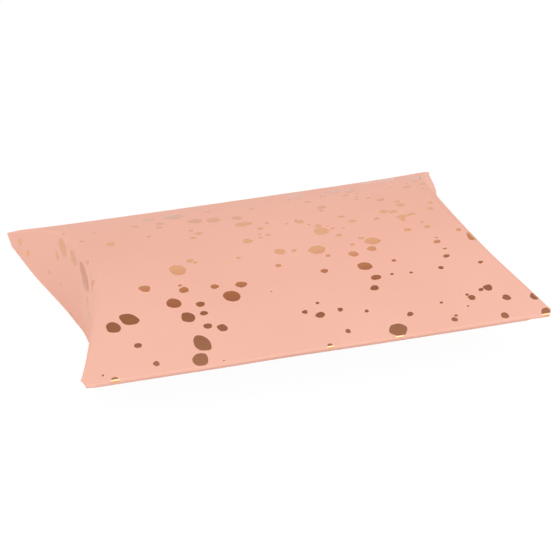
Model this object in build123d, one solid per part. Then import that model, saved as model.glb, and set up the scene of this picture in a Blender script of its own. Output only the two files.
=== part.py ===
from build123d import *
import math
import os

os.makedirs("parts", exist_ok=True)

# Pillow box folded from one blank of printed card and glued along its rear edge.
# Millimetres. X runs along the two long folds, Y from the front fold to the rear one, Z up.
# The origin is on the table, under the middle of the box.

# Driving dimensions of the closed box
box_length = 230.0
box_width = 200.0
box_height = 50.0
card = 0.5
rest_width = 14.0

# Long folds and corners
fold_radius = 1.2
seam_radius = 0.9
tip_height = 2.2
tip_setback = 1.7

# Closing flaps
outer_flap_height = 49.4
inner_flap_height = 30.0
flap_gap = 0.3
score_gap = 0.2

# Glued seam
tab_width = 15.0
tab_setback = 8.0
tab_taper = 6.0
glue_width = 8.0
glue_film = 0.12
glue_slack = 0.03
glue_margin = 3.0

# Places worked out from the sizes above
half_length = box_length / 2
half_width = box_width / 2
rise = box_height / 2
fold_reach = half_width - fold_radius
fold_end = half_length - tip_setback
inner_tip = half_length - card - flap_gap
diagonal = math.sqrt(2)

section_plane = Plane(origin=(0, 0, rise), x_dir=(0, 1, 0), z_dir=(1, 0, 0))
fold_plane = Plane.XY.offset(rise)


class Arch:
    """Outer face of a bowed panel in section: round shoulders tangent to a flat crown and to the front fold."""

    def __init__(self, flat):
        span = fold_reach - flat / 2
        self.flat = flat
        self.radius = (span**2 + rise**2 - fold_radius**2) / (2 * (rise - fold_radius))
        self.drop = self.radius - rise
        self.fold_angle = math.degrees(math.atan2(span, self.drop))

    def reach(self, height):
        """Distance from the middle at which the arch stands this high over the fold line."""
        return self.flat / 2 + math.sqrt(self.radius**2 - (self.drop + height) ** 2)

    def angle(self, place):
        """Angle from the vertical at which the arch reaches this distance from the middle."""
        return math.degrees(math.asin((place - self.flat / 2) / self.radius))

    def line(self, offset, near, far, stretch=1):
        """Edges of the arch between two angles, at a radial offset and with its height stretched."""
        size = self.radius + offset
        low = -self.drop * stretch
        half = self.flat / 2
        if half == 0:
            return [bow((0, low), size, stretch, 90 + near, -near - far)]
        crown = low + size * stretch
        front = bow((-half, low), size, stretch, 90 + near, -near)
        rear = bow((half, low), size, stretch, 90, -far)
        return [front, Line((-half, crown), (half, crown)), rear]


def bow(centre, radius, stretch, start, size):
    """Round arc, or the arc of an ellipse where the height is stretched."""
    if stretch == 1:
        return CenterArc(centre, radius, start, size)
    return EllipticalCenterArc(centre, radius, radius * stretch, start, arc_size=size)


top_arch = Arch(0)
bottom_arch = Arch(rest_width)


def strip_face(first, second):
    """Face between two open chains of edges that run side by side."""
    ends = [Line(first[0] @ 0, second[0] @ 0), Line(first[-1] @ 1, second[-1] @ 1)]
    return make_face(first + second + ends)


def card_face(arch, low, high, near, far):
    """Bent strip between two radial offsets from the outer face of an arch."""
    return strip_face(arch.line(low, near, far), arch.line(high, near, far))


def along_box(face):
    """A section of the box drawn out over its whole length."""
    return extrude(section_plane * face, amount=half_length, both=True)


def outline_block(tip, reach):
    """Plan of the blank's sleeve: straight long sides, with each corner cut back from tip to fold."""
    right = [(fold_end, -half_width), (tip, -reach), (tip, reach), (fold_end, half_width)]
    left = [(-x, -y) for x, y in right]
    return extrude(make_face(Polyline(*right, *left, close=True)), amount=box_height)


def score_block(arch, tip, shift):
    """The flap's side of the right upper end score, which lies in a plane at 45 degrees."""
    plane = Plane(origin=(tip + tip_height, 0, rise), x_dir=(0, 1, 0), z_dir=(1, 0, 1))
    reach = arch.reach(tip_height)
    corner = arch.angle(reach)
    score = arch.line(0, corner, corner, diagonal)
    low = Polyline(score[0] @ 0, (-reach, -box_height), (reach, -box_height), score[-1] @ 1)
    face = make_face(score + low.edges())
    return extrude(plane * Pos(0, shift) * face, amount=box_height, both=True)


def bowed_panel(arch, tip, near, far):
    """Panel seen crown up, trimmed to the outline and to the curved score at each end."""
    sheet = along_box(card_face(arch, -card, 0, near, far))
    sheet = sheet & outline_block(tip, arch.reach(tip_height))
    score = score_block(arch, tip, score_gap / 2)
    return sheet - score - mirror(score, about=Plane.YZ)


def end_flap(arch, tip, height):
    """Right-hand flap hanging from the upper score: the panel's own arch, standing upright."""
    corner = arch.angle(arch.reach(tip_height))
    plane = Plane(origin=(tip + tip_height, 0, rise), x_dir=(0, 1, 0), z_dir=(0, 0, 1))
    wall = extrude(plane * card_face(arch, 0, card, corner, corner), amount=rise, both=True)
    wall = wall & score_block(arch, tip, -score_gap / 2)
    return wall - below_edge(tip, height)


def below_edge(tip, height):
    """Everything under the plane of a flap's free edge, which is height deep at the crown."""
    start = tip + tip_height
    slope = (height - rise) / rise
    far = start - box_height
    corners = [(start, rise), (start, -rise), (far, -rise), (far, rise - slope * box_height)]
    profile = Plane.XZ * make_face(Polyline(*corners, close=True))
    return extrude(profile, amount=box_width, both=True)


def turned_strip(centre, radius, start, size):
    """Section of card rolled round a long fold."""
    outer = [CenterArc(centre, radius, start, size)]
    inner = [CenterArc(centre, radius - card, start, size)]
    return strip_face(outer, inner)


def seam_centre():
    """Centre of the rear fold, tangent to the bottom panel outside and to the glued tab above it."""
    lower = (bottom_arch.flat / 2, bottom_arch.drop)
    upper = (0, -top_arch.drop)
    to_lower = bottom_arch.radius - seam_radius
    to_upper = top_arch.radius - card - glue_film - seam_radius
    apart = math.dist(lower, upper)
    along = (to_lower**2 - to_upper**2 + apart**2) / (2 * apart)
    aside = math.sqrt(to_lower**2 - along**2)
    run = ((upper[0] - lower[0]) / apart, (upper[1] - lower[1]) / apart)
    return (lower[0] + along * run[0] - aside * run[1], lower[1] + along * run[1] + aside * run[0])


seam = seam_centre()
seam_top = math.degrees(math.atan2(seam[0], seam[1] + top_arch.drop))
seam_bottom = math.degrees(math.atan2(seam[0] - bottom_arch.flat / 2, bottom_arch.drop - seam[1]))


def make_top_panel():
    return bowed_panel(top_arch, half_length, top_arch.fold_angle, top_arch.angle(half_width))


def make_bottom_panel():
    panel = bowed_panel(bottom_arch, inner_tip, bottom_arch.fold_angle, seam_bottom)
    return mirror(panel, about=fold_plane)


def make_front_fold():
    start = 90 + top_arch.fold_angle
    size = 180 - top_arch.fold_angle - bottom_arch.fold_angle
    strip = along_box(turned_strip((-fold_reach, 0), fold_radius, start, size))
    return strip & outline_block(half_length, top_arch.reach(tip_height))


def make_rear_fold():
    start = seam_bottom - 90
    strip = along_box(turned_strip(seam, seam_radius, start, 180 - seam_bottom - seam_top))
    return strip & outline_block(inner_tip, bottom_arch.reach(tip_height))


def make_glue_tab():
    inner = seam_top - math.degrees(tab_width / top_arch.radius)
    outer_face = -card - glue_film
    tab = along_box(card_face(top_arch, outer_face - card, outer_face, -inner, seam_top))
    wide = half_length - tab_setback
    narrow = wide - tab_taper
    free = top_arch.radius * math.sin(math.radians(inner)) - card
    right = [(wide, half_width), (narrow, free)]
    left = [(-x, y) for x, y in reversed(right)]
    return tab & extrude(make_face(Polyline(*right, *left, close=True)), amount=box_height)


def make_glue_line():
    middle = seam_top - math.degrees(tab_width / 2 / top_arch.radius)
    spread = math.degrees(glue_width / 2 / top_arch.radius)
    low = -card - glue_film + glue_slack
    film = card_face(top_arch, low, -card - glue_slack, spread - middle, middle + spread)
    reach = half_length - tab_setback - tab_taper - glue_margin
    return extrude(section_plane * film, amount=reach, both=True)


def make_flaps():
    outer = end_flap(top_arch, half_length, outer_flap_height)
    inner = mirror(end_flap(bottom_arch, inner_tip, inner_flap_height), about=fold_plane)
    return {
        "right_outer_flap": outer,
        "right_inner_flap": inner,
        "left_outer_flap": mirror(outer, about=Plane.YZ),
        "left_inner_flap": mirror(inner, about=Plane.YZ),
    }


pieces = {
    "top_panel": make_top_panel(),
    "bottom_panel": make_bottom_panel(),
    "front_fold": make_front_fold(),
    "rear_fold": make_rear_fold(),
    "glue_tab": make_glue_tab(),
    "glue_line": make_glue_line(),
}
pieces.update(make_flaps())

for name, piece in pieces.items():
    export_step(piece, f"parts/{name}.step")
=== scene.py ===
import math
import random

import bmesh
import bpy
from mathutils import Matrix, Vector
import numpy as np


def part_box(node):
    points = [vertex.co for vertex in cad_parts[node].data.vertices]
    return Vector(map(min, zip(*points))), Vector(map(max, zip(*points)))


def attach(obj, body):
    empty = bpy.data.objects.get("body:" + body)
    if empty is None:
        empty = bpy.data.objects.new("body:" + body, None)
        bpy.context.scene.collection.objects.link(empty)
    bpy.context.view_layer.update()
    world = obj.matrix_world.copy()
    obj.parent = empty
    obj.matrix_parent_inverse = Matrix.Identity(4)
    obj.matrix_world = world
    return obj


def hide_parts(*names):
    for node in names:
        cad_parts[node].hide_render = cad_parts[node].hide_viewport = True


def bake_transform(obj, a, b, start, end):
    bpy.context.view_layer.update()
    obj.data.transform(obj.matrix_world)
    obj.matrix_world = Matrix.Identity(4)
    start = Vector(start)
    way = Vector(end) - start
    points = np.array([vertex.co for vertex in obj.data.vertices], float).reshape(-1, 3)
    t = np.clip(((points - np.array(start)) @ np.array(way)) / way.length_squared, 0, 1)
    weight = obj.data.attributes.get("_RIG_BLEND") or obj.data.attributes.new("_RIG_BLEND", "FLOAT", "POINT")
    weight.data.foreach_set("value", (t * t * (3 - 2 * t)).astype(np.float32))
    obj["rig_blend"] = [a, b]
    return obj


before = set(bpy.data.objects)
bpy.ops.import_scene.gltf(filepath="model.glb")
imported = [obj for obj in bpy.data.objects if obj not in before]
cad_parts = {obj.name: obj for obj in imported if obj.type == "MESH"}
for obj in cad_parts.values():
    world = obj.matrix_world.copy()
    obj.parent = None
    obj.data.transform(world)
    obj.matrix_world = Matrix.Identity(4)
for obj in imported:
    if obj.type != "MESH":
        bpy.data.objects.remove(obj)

# Pillow box of folded printed card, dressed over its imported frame. Metres, in the frame's axes.
# The printed sheet is described by two lengths: x along the box, and the run round the sleeve
# from the raw rear edge, over the top, round the front fold and back under the bottom.

mm = 0.001
half_turn = math.pi
quarter_turn = math.pi / 2
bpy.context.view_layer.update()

# Sizes from the frame
top_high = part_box("top_panel")[1]
half_length = top_high.x
half_width = top_high.y
rise = top_high.z / 2

# Card and folds
card = 0.5 * mm
fold_radius = 1.2 * mm
seam_radius = 0.9 * mm
crown_bead = 3 * mm
tip_bead = 0.5 * mm
bead_taper = 0.25
low_tip_height = 4.2 * mm
tip_height = 2.2 * mm
tip_setback = 1.7 * mm
rest_width = 14 * mm
flap_gap = 0.3 * mm
outer_flap_height = 49.4 * mm
inner_flap_height = 30 * mm
top_sag_share = 0.058
sharp_edge = math.radians(40)

# Glued tab
tab_width = 15 * mm
tab_setback = 8 * mm
tab_taper = 6 * mm
glue_width = 8 * mm
glue_film = 0.12 * mm
glue_slack = 0.03 * mm
glue_margin = 3 * mm

# Fineness of the sheets: steps round the section and along a flap, and columns each way from the middle
raw_edge_steps = 3
top_steps = 90
shoulder_steps = 2
fold_steps = 8
low_steps = 42
rest_steps = 4
seam_edge_steps = 3
seam_steps = 12
bead_steps = 10
flap_steps = 16
tab_steps = 10
glue_steps = 6
sleeve_columns = 48
tab_columns = 40

# Foil drops stand this far proud of the card and reach this far into it
foil_lift = 0.02 * mm
foil_sink = 0.03 * mm

# Two places count as one when they are this near, or the same to this many digits
foil_weld = 0.001 * mm
place_tolerance = 1e-9
place_digits = 9

# Outlines of the drops: how finely they follow the card, how uneven they are and how they are rounded
fine_spacing = 0.25 * mm
wide_spacing = 1.6 * mm
corner_counts = (5, 6, 6, 7, 8)
corner_shift = 0.22
corner_swell = 1.11
corner_cut_shares = (0.2, 0.25)
lumps_share = 0.14
least_rings = 2

# Drops that the photograph shows: how short and how long round the box they may be for their width
least_stretch = 0.7
most_stretch = 1.3
seen_seed = 7

# Loose drops, scattered where the photograph doesn't show the sheet
loose_seed = 11
loose_tries = 1500
loose_least = 0.5 * mm
loose_most = 4.6 * mm
loose_range = 0.95
loose_flattest = 0.75
loose_gap = 1.2 * mm
top_seen_to = 84 * mm
left_seen_from = -54 * mm
front_seen_from = -75 * mm

# Photograph: the camera's place round the middle of the box, and the frame in pixels
picture_side = 560
focal_pixels = 3170.8
view_azimuth = math.radians(-13.63)
view_elevation = math.radians(22.67)
view_roll = math.radians(-3.15)
view_distance = 1580 * mm
view_aside = 6.1 * mm
view_above = -3.21 * mm
pixel_size = view_distance / focal_pixels
half_picture = picture_side / 2

# Lines of sight: where they start over the table, and how closely they are followed
sight_start = 2.2 * rise
sight_steps = 120
sight_halvings = 24
sight_rounds = 3

# How the folded card has settled out of true: local moves, and ends that belly outward.
# A move has its place in plan, then its spread each way and its size in millimetres.
settled_moves = [
    (-half_length, half_width, 34, (1, 0, 0.6)),
    (half_length, half_width, 34, (-0.5, 0, 0.9)),
    (-12 * mm, -half_width, 42, (0, 0, 0.35)),
    (104 * mm, -half_width, 30, (0, 0, 0.3)),
    (half_length, -half_width, 20, (0, 0, -0.1)),
    (114 * mm, -half_width, 9, (0, 0, -0.35)),
    (106.5 * mm, -half_width, 8, (0, 0, -0.35)),
    (-110.5 * mm, -half_width, 6, (0, 0, -0.4)),
    (95 * mm, 2 * mm, 80, (0.95, 0, 0)),
    (-104 * mm, -73 * mm, 26, (-0.35, 0, 0)),
    (105 * mm, -76 * mm, 24, (0.35, 0, 0)),
]
pinch_places = [(-half_length, -half_width), (half_length, -half_width)]
pinch_spread = 15 * mm
pinch_depth = 1.1 * mm
pinch_fade = 2 * mm
end_reach = 30 * mm
left_belly = 1.5 * mm
left_belly_place = 72 * mm
left_belly_spread = 44 * mm
left_pinch = 0.6 * mm
left_pinch_place = 16 * mm
left_pinch_spread = 16 * mm
right_wing = 6.3 * mm
right_wing_place = 88 * mm
right_wing_spread = 30 * mm
right_wing_gain = 2
flap_end_gap = 3.4 * mm

fold_reach = half_width - fold_radius
half_rest = rest_width / 2
fold_end = half_length - tip_setback
inner_tip = half_length - card - flap_gap


class Arch:
    """Outer face of a bowed panel in section: heights are over the plane of the two long folds."""

    def __init__(self, up, flat, tip, flap_height, end_height):
        span = fold_reach - flat / 2
        self.up = up
        self.flat = flat
        self.tip = tip
        self.end_height = end_height
        self.radius = (span**2 + rise**2 - fold_radius**2) / (2 * (rise - fold_radius))
        self.drop = self.radius - rise
        self.fold_angle = math.atan2(span, self.drop)
        self.reach = flat / 2 + math.sqrt(self.radius**2 - (self.drop + tip_height) ** 2)
        self.slope = (flap_height - rise) / rise

    def angle(self, y):
        """Angle from the vertical at which the arch reaches this distance from the middle."""
        return math.asin((y - self.flat / 2) / self.radius)

    def height(self, y):
        over = max(abs(y) - self.flat / 2, 0)
        return math.sqrt(max(self.radius**2 - over**2, 0)) - self.drop

    def over_tips(self, y):
        """Height of the arch, or of the box's tips where the arch is lower."""
        return max(self.height(y), tip_height)

    def score(self, y):
        """Distance along the box to the curved end score."""
        return self.tip + tip_height - max(self.height(y), self.end_height)

    def bead(self, y):
        """Radius of the rounded score, which tightens towards its two ends."""
        share = max(1 - abs(y) / self.reach, 0)
        return tip_bead + (crown_bead - tip_bead) * share**bead_taper

    def start(self, y):
        """Distance along the box at which the rounded score starts."""
        return self.score(y) - self.bead(y)

    def past_score(self, y, height, over):
        """Reach, height and turn of the card at a run over the rounded score and down the flap."""
        size = self.bead(y)
        turn = min(over / size, quarter_turn)
        reach = self.start(y) + size * math.sin(turn)
        return reach, height - size + size * math.cos(turn) - max(over - size * quarter_turn, 0), turn


top_arch = Arch(1, 0, half_length, outer_flap_height, tip_height)
bottom_arch = Arch(-1, rest_width, inner_tip, inner_flap_height, low_tip_height)


def seam_centre():
    """Centre of the rear fold, tangent to the bottom panel outside and to the tab under the top panel."""
    lower = Vector((half_rest, bottom_arch.drop))
    upper = Vector((0, -top_arch.drop))
    to_lower = bottom_arch.radius - seam_radius
    to_upper = top_arch.radius - card - glue_film - seam_radius
    apart = (upper - lower).length
    along = (to_lower**2 - to_upper**2 + apart**2) / (2 * apart)
    aside = math.sqrt(to_lower**2 - along**2)
    run = (upper - lower) / apart
    return lower + along * run + aside * Vector((-run.y, run.x))


seam = seam_centre()
seam_top = math.atan2(seam.x, seam.y + top_arch.drop)
seam_bottom = math.atan2(seam.x - half_rest, bottom_arch.drop - seam.y)


class Stretch:
    """Part of the sleeve's section: an arc between two angles from the vertical, or the flat rest."""

    def __init__(self, arch, centre, radius, first, last, steps, scored=False):
        self.arch = arch
        self.centre = centre
        self.radius = radius
        self.first = first
        self.last = last
        self.steps = steps
        self.scored = scored
        self.length = radius * (first - last) if radius else last - first

    def at(self, run):
        """Place in the section and the angle of the outward normal, at a run along this stretch."""
        if not self.radius:
            return self.first + run, -rise, -half_turn
        angle = self.first - run / self.radius
        y = self.centre[0] + self.radius * math.sin(angle)
        z = self.centre[1] + self.radius * math.cos(angle)
        return y, z, angle


def section():
    """The whole printed section from the raw rear edge to the rear fold, in one turning sense."""
    top = (0, -top_arch.drop)
    front = (-fold_reach, 0)
    low_front = (-half_rest, bottom_arch.drop)
    low_rear = (half_rest, bottom_arch.drop)
    size = top_arch.radius
    low_size = bottom_arch.radius
    reach = top_arch.angle(top_arch.reach)
    low_reach = bottom_arch.angle(bottom_arch.reach)
    low_fold = bottom_arch.fold_angle - half_turn
    seam_start = -half_turn - seam_bottom
    seam_end = seam_top - 2 * half_turn
    return [
        Stretch(top_arch, top, size, top_arch.angle(half_width), reach, raw_edge_steps),
        Stretch(top_arch, top, size, reach, -reach, top_steps, scored=True),
        Stretch(top_arch, top, size, -reach, -top_arch.fold_angle, shoulder_steps),
        Stretch(top_arch, front, fold_radius, -top_arch.fold_angle, -quarter_turn, fold_steps),
        Stretch(bottom_arch, front, fold_radius, -quarter_turn, low_fold, fold_steps),
        Stretch(bottom_arch, low_front, low_size, low_fold, low_reach - half_turn, shoulder_steps),
        Stretch(bottom_arch, low_front, low_size, low_reach - half_turn, -half_turn, low_steps, scored=True),
        Stretch(bottom_arch, None, 0, -half_rest, half_rest, rest_steps, scored=True),
        Stretch(bottom_arch, low_rear, low_size, -half_turn, -half_turn - low_reach, low_steps, scored=True),
        Stretch(bottom_arch, low_rear, low_size, -half_turn - low_reach, seam_start, seam_edge_steps),
        Stretch(bottom_arch, seam, seam_radius, seam_start, seam_end, seam_steps),
    ]


sleeve_section = section()
section_starts = [sum(part.length for part in sleeve_section[:i]) for i in range(len(sleeve_section))]
section_run = sum(part.length for part in sleeve_section)
rest_start = next(start for part, start in zip(sleeve_section, section_starts) if part.centre is None)


def stretch_at(run):
    """The stretch of the section that holds a run, and the run left along it."""
    run = min(max(run, 0), section_run)
    for part, start in zip(reversed(sleeve_section), reversed(section_starts)):
        if run >= start:
            return part, min(run - start, part.length)


def top_run(y):
    """Run from the raw rear edge to a place on the top panel."""
    return top_arch.radius * (top_arch.angle(half_width) - top_arch.angle(y))


def low_run(y):
    """Run from the raw rear edge to a place under the bottom panel."""
    if abs(y) <= half_rest:
        return rest_start + y + half_rest
    over = bottom_arch.radius * bottom_arch.angle(abs(y))
    return rest_start - over if y < 0 else rest_start + rest_width + over


def run_to_fold(arch, y):
    """Run over the card from a place near a long fold to the fold's outermost line."""
    left = max(half_width - abs(y), 0)
    on_fold = min(left, fold_radius * (1 - math.sin(arch.fold_angle)))
    round_fold = fold_radius * math.acos(1 - on_fold / fold_radius)
    return round_fold + (left - on_fold) / math.cos(arch.fold_angle)


def cut_end(arch, y):
    """End of the card outside the scores, where each corner is cut straight from the tip to the fold."""
    share = 1 - run_to_fold(arch, y) / run_to_fold(arch, arch.reach)
    tip = arch.score(arch.reach)
    return tip + (fold_end - tip) * min(max(share, 0), 1)


def panel_end(part, y):
    """Half length of the sleeve at a place in its section."""
    if part.scored:
        return part.arch.start(y)
    return cut_end(part.arch, y)


def lifted(x, y, z):
    """Height in the section after the top panel's shallow sag between its two ends."""
    if z <= 0:
        return z
    return z * (1 - top_sag_share * (1 - min(abs(x) / top_arch.score(y), 1) ** 2))


def place(x, run):
    """Point of the printed face at a place on the flat blank, with its outward normal."""
    part, along = stretch_at(run)
    y, z, angle = part.at(along)
    upright = Vector((0, math.sin(angle), math.cos(angle)))
    end = panel_end(part, y)
    if abs(x) <= end or not part.scored:
        return Vector((x, y, rise + lifted(x, y, z))), upright
    side = math.copysign(1, x)
    reach, height, turn = part.arch.past_score(y, abs(z), abs(x) - end)
    lean = part.arch.angle(abs(y)) if abs(y) > part.arch.flat / 2 else 0
    lean = math.copysign(lean, y)
    outward = Vector((side * math.cos(lean), -math.sin(lean), 0))
    normal = upright * math.cos(turn) + outward * math.sin(turn)
    return Vector((side * reach, y, rise + part.arch.up * height)), normal.normalized()


def flap_length(arch, y):
    """Run down a flap from the start of its rounded score to its free edge, cut back towards the tips."""
    whole = arch.over_tips(y) * (1 + arch.slope) - arch.bead(y)
    share = min((arch.reach - abs(y)) / flap_end_gap, 1)
    return arch.bead(y) * quarter_turn + whole * share


def spread(first, last, steps):
    return [first + (last - first) * i / steps for i in range(steps + 1)]


# Meshes


def new_object(name, data):
    thing = bpy.data.objects.new(name, data)
    bpy.context.scene.collection.objects.link(thing)
    return thing


def new_piece(name, build, materials):
    piece = new_object(name, bpy.data.meshes.new(name))
    build.to_mesh(piece.data)
    build.free()
    for material in materials:
        piece.data.materials.append(material)
    return piece


def thicken(piece, thickness, inner_slot=0, rim_slot=0, even=True):
    """Gives a sheet its thickness on the inside of its printed face, and settles the mesh."""
    solid = piece.modifiers.new("thickness", "SOLIDIFY")
    solid.thickness = thickness
    solid.offset = -1
    solid.use_even_offset = even
    solid.material_offset = inner_slot
    solid.material_offset_rim = rim_slot
    graph = bpy.context.evaluated_depsgraph_get()
    mesh = bpy.data.meshes.new_from_object(piece.evaluated_get(graph))
    piece.modifiers.clear()
    piece.data = mesh
    mesh.shade_smooth()
    mesh.set_sharp_from_angle(angle=sharp_edge)
    return piece


def grid_faces(build, rows, flat, flipped=False):
    """Quads between neighbouring rows of keyed vertices, with the place on the blank as texture place."""
    layer = build.loops.layers.uv.new("blank")
    for first, second in zip(rows, rows[1:]):
        for key in first:
            after = key + 1
            if after not in first or key not in second or after not in second:
                continue
            corners = [first[key], second[key], second[after], first[after]]
            if flipped:
                corners.reverse()
            face = build.faces.new(corners)
            for loop in face.loops:
                loop[layer].uv = flat[loop.vert]


def make_sleeve(materials):
    """Top panel, front fold, bottom panel and rear fold, which are one bent sheet."""
    build = bmesh.new()
    rows = []
    flat = {}
    corner = sleeve_columns + 1
    for part, start in zip(sleeve_section, section_starts):
        for step in range(part.steps + 1):
            if step == 0 and rows:
                if not part.scored and corner not in rows[-1]:
                    add_corner(build, rows[-1], flat, part, 0, start)
                continue
            along = part.length * step / part.steps
            end = panel_end(part, part.at(along)[0]) - (0 if part.scored else tip_bead)
            row = {}
            for column in range(-sleeve_columns, corner):
                x = end * column / sleeve_columns
                row[column] = build.verts.new(sleeve_point(part, along, x))
                flat[row[column]] = (x, start + along)
            if not part.scored:
                add_corner(build, row, flat, part, along, start)
            rows.append(row)
    grid_faces(build, rows, flat)
    rear_start, front_start, front_end, rear_end = corner_rows()
    for key in (-corner, corner):
        close_corner(build, [row[key] for row in rows[front_start:front_end + 1]], flat)
        close_corner(build, [row[key] for row in rows[rear_end:] + rows[:rear_start + 1]], flat)
    return new_piece("sleeve_card", build, materials)


def corner_rows():
    """Rows of the sleeve at which the scores of its upper and lower side begin and end."""
    rows = []
    row = 0
    for part, after in zip(sleeve_section, sleeve_section[1:]):
        row += part.steps
        if part.scored != after.scored:
            rows.append(row)
    return rows


def close_corner(build, ring, flat):
    """Web across a corner's cut, where the two layers of card are pressed together."""
    face = build.faces.new(ring)
    face.normal_update()
    if face.normal.x * ring[0].co.x < 0:
        face.normal_flip()
    layer = build.loops.layers.uv["blank"]
    for loop in face.loops:
        loop[layer].uv = flat[loop.vert]


def sleeve_point(part, along, x):
    y, z = part.at(along)[:2]
    return (x, y, rise + lifted(x, y, z))


def add_corner(build, row, flat, part, along, start):
    """Vertices at the two ends of a row outside the scores, where the card runs on past them."""
    end = cut_end(part.arch, part.at(along)[0])
    for side in (-1, 1):
        vertex = build.verts.new(sleeve_point(part, along, side * end))
        row[side * (sleeve_columns + 1)] = vertex
        flat[vertex] = (side * end, start + along)


def make_flap(name, arch, side, materials):
    """One closing flap with its rounded score, bowed in plan as the panel is bowed in section."""
    build = bmesh.new()
    run_at = top_run if arch is top_arch else low_run
    flat = {}
    rows = []
    for y in scored_places(arch):
        start = arch.start(y)
        quarter = arch.bead(y) * quarter_turn
        stops = spread(0, quarter, bead_steps) + spread(quarter, flap_length(arch, y), flap_steps)[1:]
        row = {}
        for key, over in enumerate(stops):
            row[key] = build.verts.new(flap_point(arch, side, y, over))
            flat[row[key]] = (side * (start + over), run_at(y))
        rows.append(row)
    grid_faces(build, rows, flat, flipped=side == arch.up)
    return new_piece(name, build, materials)


def scored_places(arch):
    """Places across the box at which the sleeve's rows meet a curved score, from the front one on."""
    places = set()
    for part in sleeve_section:
        if part.scored and part.arch is arch:
            for along in spread(0, part.length, part.steps):
                places.add(round(part.at(along)[0], place_digits))
    return sorted(places)


def flap_point(arch, side, y, over):
    """Point of a flap's printed face at a run from the start of its rounded score."""
    reach, height, _ = arch.past_score(y, arch.over_tips(y), over)
    return (side * reach, y, rise + arch.up * height)


def under_top(depth, near, far, near_end, far_end, steps, name, materials):
    """Strip under the rear of the top panel, between two angles, with straight tapered ends."""
    build = bmesh.new()
    rows = []
    flat = {}
    size = top_arch.radius - depth
    for share in spread(0, 1, steps):
        angle = near + (far - near) * share
        end = near_end + (far_end - near_end) * share
        y = size * math.sin(angle)
        z = size * math.cos(angle) - top_arch.drop
        row = {}
        for column in range(-tab_columns, tab_columns + 1):
            x = end * column / tab_columns
            row[column] = build.verts.new((x, y, rise + lifted(x, y, z)))
            flat[row[column]] = (x, section_run + size * (near - angle))
        rows.append(row)
    grid_faces(build, rows, flat)
    return new_piece(name, build, materials)


def make_tab(materials):
    depth = card + glue_film
    wide = half_length - tab_setback
    inner = seam_top - tab_width / top_arch.radius
    return under_top(depth, seam_top, inner, wide, wide - tab_taper, tab_steps, "glue_tab_card", materials)


def make_glue(materials):
    middle = seam_top - tab_width / 2 / top_arch.radius
    half_film = glue_width / 2 / top_arch.radius
    reach = half_length - tab_setback - tab_taper - glue_margin
    return under_top(card + glue_slack, middle + half_film, middle - half_film, reach, reach, glue_steps,
                     "glue_film", materials)


# How the card has settled


def bump(place, middle, spread_each_way):
    """Smooth swell of one at its middle, gone at its spread to each side."""
    share = abs(place - middle) / spread_each_way
    return (1 + math.cos(math.pi * share)) / 2 if share < 1 else 0


def settled(point):
    """Where a point of the true box has moved to on the folded one."""
    move = Vector()
    for x, y, reach, shift in settled_moves:
        move += Vector(shift) * mm * bump(point.x, x, reach * mm) * bump(point.y, y, reach * mm)
    high = top_arch.over_tips(point.y)
    down = min(max((high - point.z + rise) / (2 * high), 0), 1)
    below = max(tip_height - pinch_depth - point.z + rise, 0)
    below *= min(max((fold_reach - abs(point.y)) / pinch_fade, 0), 1)
    for x, y in pinch_places:
        move.z += below * bump(point.x, x, pinch_spread) * bump(point.y, y, pinch_spread)
    out = (abs(point.x) - top_arch.score(point.y) + end_reach) / end_reach
    share = down * min(max(out, 0), 1)
    if point.x < 0:
        move.x -= share * left_belly * bump(point.y, left_belly_place, left_belly_spread)
        move.x += share * left_pinch * bump(point.y, left_pinch_place, left_pinch_spread)
    else:
        wing = right_wing * bump(point.y, right_wing_place, right_wing_spread)
        move.x += share * (right_wing_gain - down) * min(wing, high - tip_height)
    return point + move


def settle(piece):
    """Moves a whole piece as the card under it has moved."""
    for vertex in piece.data.vertices:
        vertex.co = settled(vertex.co)


# How the flaps unroll as they open


def open_share(arch, point):
    """Share of a flap's turn that a point takes: none on the score, more away from it and from the tips."""
    height = arch.over_tips(point.y)
    below_crown = rise - height
    inward = arch.score(point.y) - abs(point.x)
    down = height - arch.up * (point.z - rise)
    size = arch.bead(point.y)
    turn = math.atan2(size - inward, size - down) if down < size else quarter_turn
    rounding = min(max(turn / quarter_turn, 0), 1)
    depth = max(down, size)
    return rounding * (1 - math.atan2(below_crown, below_crown + depth) / (quarter_turn / 2))


def unroll(piece, body, arch, side):
    """Bends a flap across its score so that it stays whole along the curve and opens into the panel's bow."""
    crown = Vector((side * arch.score(0), 0, rise + arch.up * rise))
    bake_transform(piece, "sleeve", body, start=crown, end=crown - Vector((0, 0, arch.up * rise)))
    shares = piece.data.attributes["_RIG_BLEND"].data
    for vertex, share in zip(piece.data.vertices, shares):
        share.value = open_share(arch, vertex.co)


# Foil drops


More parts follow.
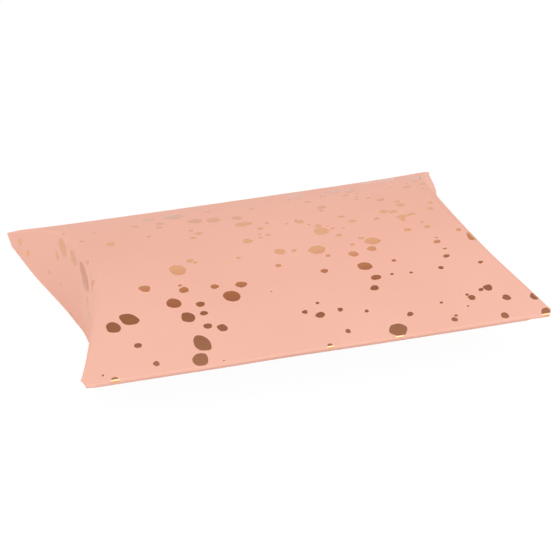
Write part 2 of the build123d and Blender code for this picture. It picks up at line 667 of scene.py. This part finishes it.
class Foil:
    """Thin foil drops on one part of the box, gathered into one mesh."""

    def __init__(self, name, body, arch, side):
        self.name = name
        self.body = body
        self.arch = arch
        self.side = side
        self.build = bmesh.new()

    def held(self, x, run):
        """Nearest place on the blank that lies on this part."""
        if self.body == "sleeve":
            part, along = stretch_at(run)
            end = panel_end(part, part.at(along)[0])
            return min(max(x, -end), end), run
        first, last = flap_runs(self.arch)
        run = min(max(run, first), last)
        part, along = stretch_at(run)
        y = part.at(along)[0]
        start = self.arch.start(y)
        end = start + flap_length(self.arch, y)
        return self.side * min(max(self.side * x, start), end), run

    def owns(self, x, run):
        """Whether a place on the blank lies on this part."""
        near_x, near_run = self.held(x, run)
        return abs(near_x - x) < place_tolerance and abs(near_run - run) < place_tolerance

    def add(self, middle, rings):
        """Adds one drop, given as rings of places on the blank round its middle place."""
        centre, normal = self.lay(*middle)
        loops = [[self.lay(*spot)[0] for spot in ring] for ring in rings]
        faces = []
        count = len(loops[0])
        for here in range(count):
            there = (here + 1) % count
            faces.append((centre, loops[0][here], loops[0][there]))
            for inner, outer in zip(loops, loops[1:]):
                faces.append((inner[here], outer[here], outer[there], inner[there]))
        lie = sum(((b.co - a.co).cross(c.co - a.co) for a, b, c, *_ in faces), Vector())
        for corners in faces:
            if lie.dot(normal) < 0:
                corners = corners[::-1]
            self.build.faces.new(corners)

    def lay(self, x, run):
        """Vertex of the foil's outer face at a place on the blank, with the card's normal there."""
        point, normal = place(*self.held(x, run))
        return self.build.verts.new(point + normal * foil_lift), normal

    def finish(self, material):
        """The drops as one piece, with their thickness."""
        bmesh.ops.remove_doubles(self.build, verts=self.build.verts, dist=foil_weld)
        bmesh.ops.dissolve_degenerate(self.build, edges=self.build.edges, dist=foil_weld)
        return thicken(new_piece(self.name, self.build, [material]), foil_lift + foil_sink, even=False)


def flap_runs(arch):
    """Runs between which the sheet has a flap."""
    run_at = top_run if arch is top_arch else low_run
    return sorted((run_at(-arch.reach), run_at(arch.reach)))


def bent(x, run):
    """Whether a place on the blank lies on one of the long folds or on a rounded score."""
    part, along = stretch_at(run)
    if 0 < part.radius <= fold_radius:
        return True
    y = part.at(along)[0]
    over = abs(x) - panel_end(part, y)
    size = part.arch.bead(y)
    return part.scored and -size < over < size * quarter_turn


def rounded(corners):
    """Closed outline with each of its corners cut twice, which leaves them softly turned."""
    for share in corner_cut_shares:
        cut = []
        for first, second in zip(corners, corners[1:] + corners[:1]):
            cut += [first.lerp(second, share), second.lerp(first, share)]
        corners = cut
    return corners


def denser(outline, spacing):
    """The same closed outline with no two neighbours further apart than the spacing."""
    spots = []
    for first, second in zip(outline, outline[1:] + outline[:1]):
        steps = max(math.ceil((second - first).length / spacing), 1)
        spots += [first.lerp(second, step / steps) for step in range(steps)]
    return spots


def drop_corners(draws, middle, across, along):
    """Uneven corners round a middle place, given two half axes of the drop."""
    count = draws.choice(corner_counts)
    start = draws.uniform(0, 2 * half_turn)
    corners = []
    for corner in range(count):
        angle = start + 2 * half_turn * (corner + draws.uniform(-corner_shift, corner_shift)) / count
        size = corner_swell * (1 + draws.uniform(-lumps_share, lumps_share))
        corners.append(middle + (across * math.cos(angle) + along * math.sin(angle)) * size)
    return corners


# Camera


def towards(azimuth, elevation):
    """Direction out from the box: an azimuth from its front, and a height over the table."""
    flat = math.cos(elevation)
    return Vector((math.sin(azimuth) * flat, -math.cos(azimuth) * flat, math.sin(elevation)))


def camera_axes():
    """Right, up and back directions of the camera."""
    back = towards(view_azimuth, view_elevation)
    right = Vector((math.cos(view_azimuth), math.sin(view_azimuth), 0))
    up = back.cross(right)
    turned = right * math.cos(view_roll) + up * math.sin(view_roll)
    raised = up * math.cos(view_roll) - right * math.sin(view_roll)
    return turned, raised, back


camera_right, camera_up, camera_back = camera_axes()
camera_place = (Vector((0, 0, rise)) + camera_back * view_distance
                + camera_right * view_aside + camera_up * view_above)


def make_camera():
    data = bpy.data.cameras.new("camera")
    data.lens = data.sensor_width * focal_pixels / picture_side
    camera = new_object("camera", data)
    axes = Matrix((camera_right, camera_up, camera_back)).transposed()
    camera.matrix_world = Matrix.Translation(camera_place) @ axes.to_4x4()
    bpy.context.scene.camera = camera


def inside_box(point):
    """Whether a point is inside the closed box's outer faces."""
    if abs(point.y) > half_width or abs(point.x) > top_arch.score(point.y):
        return False
    high = lifted(point.x, point.y, top_arch.height(point.y))
    return -bottom_arch.height(point.y) < point.z - rise < high


def seen_point(pixel_x, pixel_y):
    """Where the line of sight through a pixel first meets the closed box."""
    ray = (camera_right * (pixel_x - half_picture) + camera_up * (half_picture - pixel_y)) / focal_pixels
    ray -= camera_back
    near = (camera_place.z - sight_start) / -ray.z
    far = camera_place.z / -ray.z
    outside = near
    for inside in spread(near, far, sight_steps)[1:]:
        if inside_box(camera_place + ray * inside):
            break
        outside = inside
    else:
        return None
    for _ in range(sight_halvings):
        middle = (outside + inside) / 2
        if inside_box(camera_place + ray * middle):
            inside = middle
        else:
            outside = middle
    return camera_place + ray * outside


def pixel_of(point):
    """Pixel at which the camera sees a point."""
    sight = point - camera_place
    near = focal_pixels / -sight.dot(camera_back)
    right = half_picture + sight.dot(camera_right) * near
    return Vector((right, half_picture - sight.dot(camera_up) * near))


def sharp_place(pixel_x, pixel_y):
    """Place on the blank where the line of sight meets the closed box, as if its scores were sharp."""
    point = seen_point(pixel_x, pixel_y)
    if point is None:
        return None
    side = math.copysign(1, point.x)
    size = top_arch.bead(point.y)
    over = abs(point.x) - top_arch.start(point.y)
    if abs(point.x) > top_arch.score(point.y):
        depth = top_arch.height(point.y) - point.z + rise
        turn = math.atan2(size, size - depth) if depth < size else quarter_turn
        over = max(depth - size, 0) + size * turn
    elif over > 0:
        over = size * math.atan2(over, size)
    return Vector((side * (top_arch.start(point.y) + over), top_run(point.y)))


def seen_place(pixel_x, pixel_y):
    """Place on the blank that shows at a pixel once the card is rounded and has settled."""
    wanted = Vector((pixel_x, pixel_y))
    aim = wanted.copy()
    found = None
    for _ in range(sight_rounds):
        spot = sharp_place(*aim)
        if spot is None:
            break
        found = spot
        aim += wanted - pixel_of(settled(place(*spot)[0]))
    return found


# Materials


cloud_scale = 14
cloud_detail = 4
cloud_low = 0.3
cloud_high = 0.7
fibre_scale = 2600
fibre_detail = 3
fibre_depth = 0.02 * mm
card_gloss = 0.01
ripple_scale = 420
ripple_detail = 2
ripple_strength = 0.1
ripple_depth = 0.01 * mm
foil_roughness = 0.19
roughness_range = 0.05
glue_scale = 240
glue_detail = 2
glue_roughness = 0.35


def blank_material(name):
    material = bpy.data.materials.new(name)
    material.use_nodes = True
    nodes = material.node_tree.nodes
    return material, nodes, material.node_tree.links.new, nodes["Principled BSDF"]


def set_inputs(node, values):
    for name, value in values.items():
        node.inputs[name].default_value = value


def add_noise(nodes, link, places, scale, detail):
    noise = nodes.new("ShaderNodeTexNoise")
    set_inputs(noise, {"Scale": scale, "Detail": detail})
    link(places, noise.inputs["Vector"])
    return noise.outputs["Fac"]


def add_clouds(nodes, link, shader, pattern, dark, light, low=0, high=1):
    """Clouds the base colour between two colours."""
    colours = nodes.new("ShaderNodeValToRGB")
    for element, position, colour in zip(colours.color_ramp.elements, (low, high), (dark, light)):
        element.position = position
        element.color = (*colour, 1)
    link(pattern, colours.inputs["Fac"])
    link(colours.outputs["Color"], shader.inputs["Base Color"])


def add_grain(nodes, link, shader, pattern, roughness, strength, depth):
    """Varies the gloss and the relief by one pattern."""
    gloss = nodes.new("ShaderNodeMapRange")
    set_inputs(gloss, {"To Min": roughness - roughness_range, "To Max": roughness + roughness_range})
    relief = nodes.new("ShaderNodeBump")
    set_inputs(relief, {"Strength": strength, "Distance": depth})
    link(pattern, gloss.inputs["Value"])
    link(gloss.outputs["Result"], shader.inputs["Roughness"])
    link(pattern, relief.inputs["Height"])
    link(relief.outputs["Normal"], shader.inputs["Normal"])


def card_material(name, dark, light, roughness, grain):
    """Smooth board: faint clouding of its colour, a fine fibre in its relief and its gloss."""
    material, nodes, link, shader = blank_material(name)
    places = nodes.new("ShaderNodeUVMap")
    places.uv_map = "blank"
    clouds = add_noise(nodes, link, places.outputs["UV"], cloud_scale, cloud_detail)
    fibres = add_noise(nodes, link, places.outputs["UV"], fibre_scale, fibre_detail)
    add_clouds(nodes, link, shader, clouds, dark, light, cloud_low, cloud_high)
    add_grain(nodes, link, shader, fibres, roughness, grain, fibre_depth)
    set_inputs(shader, {"Specular IOR Level": card_gloss})
    return material


def foil_material(base, edge):
    """Stamped metal foil, nearly mirror bright, that takes a little unevenness from the board under it."""
    material, nodes, link, shader = blank_material("rose_gold_foil")
    places = nodes.new("ShaderNodeTexCoord").outputs["Object"]
    ripples = add_noise(nodes, link, places, ripple_scale, ripple_detail)
    add_grain(nodes, link, shader, ripples, foil_roughness, ripple_strength, ripple_depth)
    set_inputs(shader, {"Base Color": (*base, 1), "Metallic": 1, "Specular Tint": (*edge, 1)})
    return material


def glue_material(dark, light):
    """Film of dried glue, a little uneven in its colour."""
    material, nodes, link, shader = blank_material("dried_glue")
    places = nodes.new("ShaderNodeTexCoord").outputs["Object"]
    clouds = add_noise(nodes, link, places, glue_scale, glue_detail)
    add_clouds(nodes, link, shader, clouds, dark, light)
    set_inputs(shader, {"Roughness": glue_roughness})
    return material


printed = card_material("printed_card", (0.863, 0.484, 0.378), (0.893, 0.512, 0.406),
                        roughness=0.5, grain=0.12)
inner = card_material("inner_card", (0.82, 0.79, 0.74), (0.87, 0.845, 0.8), roughness=0.75, grain=0.4)
cut_edge = card_material("cut_edge", (0.83, 0.52, 0.43), (0.88, 0.59, 0.5), roughness=0.8, grain=0.5)
foil = foil_material(base=(0.84, 0.43, 0.237), edge=(0.79, 0.72, 0.74))
glue = glue_material((0.72, 0.66, 0.5), (0.85, 0.81, 0.68))

# Card pieces

sheet_materials = [printed, inner, cut_edge]
inner_slot = sheet_materials.index(inner)
edge_slot = sheet_materials.index(cut_edge)
sleeve = thicken(make_sleeve(sheet_materials), card, inner_slot, edge_slot, even=False)
settle(sleeve)
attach(sleeve, "sleeve")
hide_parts("top_panel", "front_fold", "bottom_panel", "rear_fold")

tab = thicken(make_tab(sheet_materials), card, inner_slot, edge_slot)
settle(tab)
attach(tab, "sleeve")
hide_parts("glue_tab")

film = thicken(make_glue([glue]), glue_film - 2 * glue_slack)
settle(film)
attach(film, "sleeve")
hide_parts("glue_line")

flaps = {
    "right_outer": (top_arch, 1),
    "left_outer": (top_arch, -1),
    "right_inner": (bottom_arch, 1),
    "left_inner": (bottom_arch, -1),
}
for body, (arch, side) in flaps.items():
    flap = make_flap(f"{body}_flap_card", arch, side, sheet_materials)
    thicken(flap, card, inner_slot, edge_slot)
    unroll(flap, body, arch, side)
    settle(flap)
    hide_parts(f"{body}_flap")

# Foil drops that the photograph shows. Outlines are given by the pixels of their corners, and the other drops
# by the pixel of their middle and their width and height in pixels.

drop_outlines = [
    [(118.4, 317.2), (120.5, 314.8), (127.6, 313.6), (133.5, 314.8), (140.6, 320), (136.8, 324.2),
     (128.2, 325.3), (122.8, 323.6)],
    [(105.5, 325.8), (108.4, 322.8), (113.2, 321.8), (118.6, 324), (121.4, 327.9), (119.7, 332),
     (113.2, 332.9), (107.6, 332)],
    [(166, 302.3), (168.9, 299), (172.9, 298.2), (179.3, 300), (182, 303.5), (180, 307.1), (173.5, 308.2),
     (167, 306.2)],
    [(181.2, 314.4), (183.1, 312.7), (189, 312.3), (193.8, 314.4), (195.7, 317.8), (193.8, 321.6),
     (188.4, 322.4), (181.8, 320.8)],
    [(193, 340.8), (194.4, 336.5), (197.6, 335), (204, 336.1), (210, 340.7), (212, 347.6), (210.4, 350.2),
     (200.4, 350.8), (195, 347)],
    [(191.9, 358.8), (195.2, 354.5), (200, 353), (206, 353.6), (208.2, 357.8), (208.2, 362.7), (205.8, 365.2),
     (198, 366.3), (193.3, 363.3)],
    [(222.4, 295.5), (225.1, 291.7), (232.2, 290.6), (238.2, 292.4), (241.2, 296.5), (238.5, 300.6),
     (233.1, 301.7), (227.2, 300.5), (224.4, 298.4)],
    [(168.4, 269.4), (170, 266.5), (174.8, 265), (181.8, 265.6), (185.8, 268.2), (185.8, 272.6),
     (182.2, 274.9), (176.2, 275.3), (171.4, 273.2)],
    [(79.4, 262), (82, 261.6), (84.6, 269), (87.4, 278), (88.8, 286), (88.4, 292.5), (86, 290.5), (83, 283),
     (81.8, 275), (79.8, 269)],
]
near_drops = [
    (200.5, 304, 10, 5.5), (204, 313, 7, 4.5), (208, 326, 8, 5.5), (222.5, 327.5, 10.5, 8),
    (145, 288.5, 12, 7), (190, 261, 7.5, 4), (195, 262.5, 5, 2.5), (180, 285.5, 4, 2), (183.5, 290, 9, 6),
    (214.5, 286.5, 8.5, 5), (241, 284.5, 11.5, 6), (138, 345.5, 6.5, 5),
    (156.5, 363.5, 6, 5), (103, 375.5, 2.5, 2), (224, 360.5, 1.5, 1), (271.5, 291.5, 1.5, 1),
]
middle_drops = [
    (280, 251.5, 10.5, 5.5), (294, 250.5, 5, 2.5), (316.5, 249.5, 16.5, 9), (328, 255.5, 4.5, 2.5),
    (278.5, 265.5, 6.5, 3.5), (324, 271, 7.5, 4.5), (352.5, 244.5, 4.5, 2.5), (353.5, 254, 9.5, 5.5),
    (317.5, 303, 3.5, 2.5), (305, 312, 5.5, 4), (320, 315, 9, 6), (340.5, 309.5, 5, 4),
    (348, 331, 5.5, 5), (398.5, 329.5, 19, 14.5), (410.5, 314, 6.5, 4.5), (365, 266, 14, 8.5),
    (376, 277.5, 9, 5), (374.5, 288, 7.5, 5.5), (372.5, 241, 15, 7), (372, 248.5, 9, 5),
    (394, 260.5, 4.5, 2.5), (392, 274, 3.5, 2), (411, 272.5, 3.5, 2), (238.5, 258, 4.5, 2.5),
    (361, 238, 6, 2.5), (338.5, 235, 6.5, 3), (332.5, 228.5, 5, 2), (327.5, 225.5, 3, 2),
    (318, 226, 6.5, 3), (321.5, 230.5, 15.5, 7.5), (343.5, 228, 3, 2), (247.5, 241, 10, 5),
    (366.7, 311, 4.2, 3.2),
]
right_drops = [
    (446.5, 256, 6.5, 4), (445, 248.5, 3.5, 1.5), (437, 241.5, 7.5, 4), (436.5, 237.5, 3, 1.5),
    (441, 267.5, 6, 3.5), (480.5, 262, 5.5, 3), (487.5, 287.5, 9, 7), (481, 289.5, 4.5, 3.5),
    (472, 297.5, 7.5, 6), (467, 294.5, 3.5, 2.5), (506.5, 297.5, 9, 6.5), (534.5, 296, 10, 8),
    (505, 315.5, 8.5, 7), (441.5, 302.5, 3.5, 2.5), (468, 306, 2.5, 1.5), (456, 315.5, 3.5, 2.5),
    (454.5, 319.5, 6, 4.5), (458.5, 229.5, 5, 2.5), (472.8, 236, 12.5, 10), (430, 202.5, 6, 3),
    (430.5, 208.5, 6, 3), (422, 222, 4, 2), (427.5, 226.5, 6.5, 3), (407.5, 229.5, 7, 3.5),
]
far_drops = [
    (111, 244, 8.5, 3.5), (81.5, 241.5, 5, 2), (63, 233.5, 5, 1.5), (94, 232.5, 3.5, 1.5),
    (134.5, 226.5, 7, 2.5), (147.5, 219.5, 13, 2.5), (174, 217, 20, 4.5), (159.5, 224, 8, 2.5),
    (159.5, 227.5, 5.5, 2), (149, 236.5, 4, 2), (195.5, 221, 15, 4.5), (214, 220, 15, 4),
    (191, 230.5, 5.5, 2), (198.5, 233.5, 7, 3), (193, 238, 6, 2.5), (207.5, 211.5, 8, 1.5),
    (237, 218, 11, 3.5), (243.5, 224, 15, 4.5), (251.5, 209, 7, 1.5), (260.5, 228.5, 6, 2.5),
    (267, 223, 5, 2), (268.5, 235, 5, 2), (259.5, 234, 4, 1.5), (260.5, 237.5, 4, 2),
    (296.5, 195.5, 19, 2), (288.5, 199.5, 6, 1.5), (307.5, 202, 7, 2), (322.5, 196.5, 6, 1.5),
    (332.5, 192, 17, 2.5), (350.5, 191, 11, 2.5), (345.5, 195.5, 6, 2), (357, 193.5, 4, 1),
    (356.5, 196.5, 3.5, 1), (356.5, 199, 3.5, 1.5), (368, 198, 6.5, 2), (380.5, 199.5, 8.5, 3),
    (321.5, 207.5, 10, 3), (321.5, 210.5, 5.5, 2), (341.5, 216.5, 7, 2.5), (352, 221, 8.5, 3.5),
    (376.5, 218.5, 7, 2.5), (384, 211.5, 8.5, 3.5), (393, 211.5, 8, 3), (397, 201.5, 6, 2),
    (400.5, 205, 8.5, 3.5), (401.5, 216.5, 9.5, 3.5), (403, 219.5, 6.5, 3.5), (410, 214.5, 7, 2.5),
    (414.5, 213.5, 4, 1.5), (286.5, 223.5, 3.5, 1.5), (296, 220.5, 4.5, 2), (299.5, 221.5, 8, 3.5),
    (308.5, 224.5, 3.5, 1.5), (407, 187, 9, 2), (406.5, 183.5, 5, 1), (424, 183.5, 9, 2.5),
    (423.5, 188.5, 2.5, 1), (390.5, 187, 3, 1.5), (373.5, 194, 3, 1), (365.5, 183.5, 16, 2),
    (386, 180.5, 20, 2), (415, 181.5, 6, 1), (416.5, 178, 17, 3), (337, 186.5, 10, 1),
]
fold_drops = [
    (115, 380, 8.5, 4), (331, 347, 6.5, 3), (399.5, 336.5, 6, 3), (545.5, 311.9, 8.5, 8.5),
]
left_end_drops = [
    (20, 242, 4, 7), (28, 253.5, 3.5, 7), (62.5, 247.5, 6.5, 18), (57, 256, 3, 8), (73.5, 258, 5.5, 14),
    (49.5, 272, 2, 5.5), (61, 284, 1.5, 3.5), (86.5, 262.3, 3, 5), (92, 286.5, 1.5, 11),
    (87.5, 302.5, 1.5, 12), (90, 316.5, 1.6, 9), (71.5, 315, 4, 5), (17.5, 252.5, 2, 3),
]
foils = {"sleeve": Foil("sleeve_foil", "sleeve", None, 0)}
for body, (arch, side) in flaps.items():
    foils[body] = Foil(f"{body}_flap_foil", body, arch, side)


def print_drop(corners):
    """Lays one drop on every part of the box that it reaches, cut off at their shared scores."""
    outline = rounded(corners)
    middle = sum(outline, Vector((0, 0))) / len(outline)
    spacing = fine_spacing if any(bent(*spot) for spot in outline) else wide_spacing
    outline = denser(outline, spacing)
    longest = max((spot - middle).length for spot in outline)
    count = max(math.ceil(longest / spacing), least_rings)
    rings = [[middle.lerp(spot, ring / count) for spot in outline] for ring in range(1, count + 1)]
    for part in foils.values():
        if any(part.owns(*spot) for spot in [middle] + outline):
            part.add(middle, rings)


def print_seen(drops, draws):
    """Prints drops where the camera sees them, as wide and deep as they look from there."""
    for pixel_x, pixel_y, width, height in drops:
        middle = seen_place(pixel_x, pixel_y)
        left = seen_place(pixel_x - 1, pixel_y)
        down = seen_place(pixel_x, pixel_y + 1)
        part, along = stretch_at(middle.y)
        if abs(middle.x) > part.arch.score(part.at(along)[0]):
            half_x = height / 2 * pixel_size / math.cos(view_elevation)
            half_run = width / 2 * abs(middle.y - left.y)
        else:
            half_x = width / 2 * pixel_size / math.cos(view_azimuth)
            half_run = height / 2 * abs(down.y - middle.y)
        half_run = min(max(half_run, least_stretch * half_x), most_stretch * half_x)
        print_drop(drop_corners(draws, middle, Vector((half_x, 0)), Vector((0, half_run))))


def print_loose(draws):
    """Scatters drops over the parts of the sheet that the photograph doesn't show."""
    wide = half_length + outer_flap_height
    taken = []
    for _ in range(loose_tries):
        spot = Vector((draws.uniform(-wide, wide), draws.uniform(0, section_run)))
        size = min(loose_least * math.exp(abs(draws.gauss(0, loose_range))), loose_most)
        shape = draws.uniform(loose_flattest, 1)
        if in_view(*spot) or any((spot - other).length < size + room + loose_gap for other, room in taken):
            continue
        taken.append((spot, size))
        turn = draws.uniform(0, half_turn)
        across = Vector((math.cos(turn), math.sin(turn))) * size
        along = Vector((-math.sin(turn), math.cos(turn))) * size * shape
        print_drop(drop_corners(draws, spot, across, along))


def in_view(x, run):
    """Whether the photograph shows this place on the sheet, or comes too near to it for a loose drop."""
    part, along = stretch_at(run)
    y = part.at(along)[0]
    if part.arch is not top_arch:
        return y < front_seen_from
    if abs(x) <= part.arch.score(y) + loose_most:
        return y < top_seen_to
    return x < 0 and y > left_seen_from


seen_draws = random.Random(seen_seed)
for drops in (near_drops, middle_drops, right_drops, far_drops, fold_drops, left_end_drops):
    print_seen(drops, seen_draws)
for outline in drop_outlines:
    print_drop([seen_place(*corner) for corner in outline])
print_loose(random.Random(loose_seed))

for part in foils.values():
    piece = part.finish(foil)
    if part.body == "sleeve":
        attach(piece, "sleeve")
    else:
        unroll(piece, part.body, part.arch, part.side)
    settle(piece)

# Studio: sky colours by degrees over the horizon, where the sky's front meets its back, floor and lamps

back_sky = [
    (0, (1, 1, 1)), (37, (0.98, 0.98, 0.98)), (40.5, (0.88, 0.84, 0.8)), (44, (0.69, 0.5, 0.39)),
    (47, (0.54, 0.37, 0.3)), (50, (0.435, 0.285, 0.23)), (56, (0.36, 0.24, 0.205)), (65, (0.38, 0.3, 0.3)),
    (90, (0.5, 0.46, 0.46)),
]
front_sky = [(0, (1, 1, 1)), (55, (0.86, 0.86, 0.88)), (78, (0.5, 0.46, 0.46)), (90, (0.5, 0.46, 0.46))]
front_until = -0.25
back_from = 0.05
floor_radius = 6
floor_segments = 64
floor_drop = 0.02 * mm
floor_shade = 0.93
floor_roughness = 0.9
floor_glow = 1.02
floor_glow_share = 0.95
lamp_distance = 2


def sky_ramp(nodes, stops):
    """Colour ramp by height over the horizon."""
    shades = nodes.new("ShaderNodeValToRGB")
    ramp = shades.color_ramp
    for degrees, _ in stops[1:-1]:
        ramp.elements.new(math.sin(math.radians(degrees)))
    for element, (_, colour) in zip(ramp.elements, stops):
        element.color = (*colour, 1)
    return shades


def make_sky():
    """Bright low down and dim overhead, dimmer behind than in front, and plain white to the camera."""
    world = bpy.data.worlds.new("studio")
    bpy.context.scene.world = world
    world.use_nodes = True
    nodes = world.node_tree.nodes
    link = world.node_tree.links.new
    sky = nodes["Background"]
    direction = nodes.new("ShaderNodeTexCoord")
    parts = nodes.new("ShaderNodeSeparateXYZ")
    behind = sky_ramp(nodes, back_sky)
    before = sky_ramp(nodes, front_sky)
    side = nodes.new("ShaderNodeMapRange")
    set_inputs(side, {"From Min": front_until, "From Max": back_from})
    mixed = nodes.new("ShaderNodeMix")
    mixed.data_type = "RGBA"
    white = nodes.new("ShaderNodeBackground")
    set_inputs(white, {"Color": (1, 1, 1, 1)})
    chosen = nodes.new("ShaderNodeMixShader")
    path = nodes.new("ShaderNodeLightPath")
    link(direction.outputs["Generated"], parts.inputs["Vector"])
    link(parts.outputs["Z"], behind.inputs["Fac"])
    link(parts.outputs["Z"], before.inputs["Fac"])
    link(parts.outputs["Y"], side.inputs["Value"])
    link(side.outputs["Result"], mixed.inputs["Factor"])
    link(before.outputs["Color"], mixed.inputs["A"])
    link(behind.outputs["Color"], mixed.inputs["B"])
    link(mixed.outputs["Result"], sky.inputs["Color"])
    link(path.outputs["Is Camera Ray"], chosen.inputs["Fac"])
    link(sky.outputs["Background"], chosen.inputs[1])
    link(white.outputs["Background"], chosen.inputs[2])
    link(chosen.outputs["Shader"], nodes["World Output"].inputs["Surface"])


def make_floor():
    """Pale floor that reads as white, and keeps a faint shadow under the box."""
    build = bmesh.new()
    bmesh.ops.create_circle(build, cap_ends=True, segments=floor_segments, radius=floor_radius)
    material, nodes, link, shader = blank_material("pale_floor")
    shade = (floor_shade, floor_shade, floor_shade, 1)
    set_inputs(shader, {"Base Color": shade, "Roughness": floor_roughness, "Specular IOR Level": 0})
    glow = nodes.new("ShaderNodeEmission")
    set_inputs(glow, {"Strength": floor_glow})
    blend = nodes.new("ShaderNodeMixShader")
    path = nodes.new("ShaderNodeLightPath")
    seen = nodes.new("ShaderNodeMath")
    seen.operation = "MULTIPLY"
    set_inputs(seen, {1: floor_glow_share})
    shown = nodes.new("ShaderNodeMath")
    shown.operation = "MAXIMUM"
    link(path.outputs["Is Camera Ray"], seen.inputs[0])
    link(seen.outputs["Value"], shown.inputs[0])
    link(path.outputs["Is Glossy Ray"], shown.inputs[1])
    link(shown.outputs["Value"], blend.inputs["Fac"])
    link(shader.outputs["BSDF"], blend.inputs[1])
    link(glow.outputs["Emission"], blend.inputs[2])
    link(blend.outputs["Shader"], nodes["Material Output"].inputs["Surface"])
    floor = new_piece("floor", build, [material])
    floor.location.z = -floor_drop


def make_lamp(name, azimuth, elevation, width, height, power):
    """Soft lamp that faces the box, at an azimuth from its front and a height in degrees."""
    data = bpy.data.lights.new(name, "AREA")
    data.shape = "RECTANGLE"
    data.size = width
    data.size_y = height
    data.energy = power
    lamp = new_object(name, data)
    back = towards(math.radians(azimuth), math.radians(elevation))
    lamp.location = Vector((0, 0, rise)) + back * lamp_distance
    lamp.rotation_mode = "QUATERNION"
    lamp.rotation_quaternion = (-back).to_track_quat("-Z", "Y")
    return lamp


make_camera()
make_sky()
make_floor()
make_lamp("overhead_lamp", azimuth=30, elevation=72, width=0.7, height=0.45, power=3.5)
make_lamp("front_lamp", azimuth=18, elevation=40, width=0.9, height=1.2, power=7)
make_lamp("left_lamp", azimuth=-80, elevation=22, width=1.2, height=0.9, power=3)
bounce = make_lamp("warm_bounce", azimuth=-155, elevation=38, width=1.2, height=0.9, power=2.4)
bounce.data.color = (1, 0.58, 0.46)
bounce.visible_glossy = False
bpy.context.scene.view_settings.view_transform = "Standard"
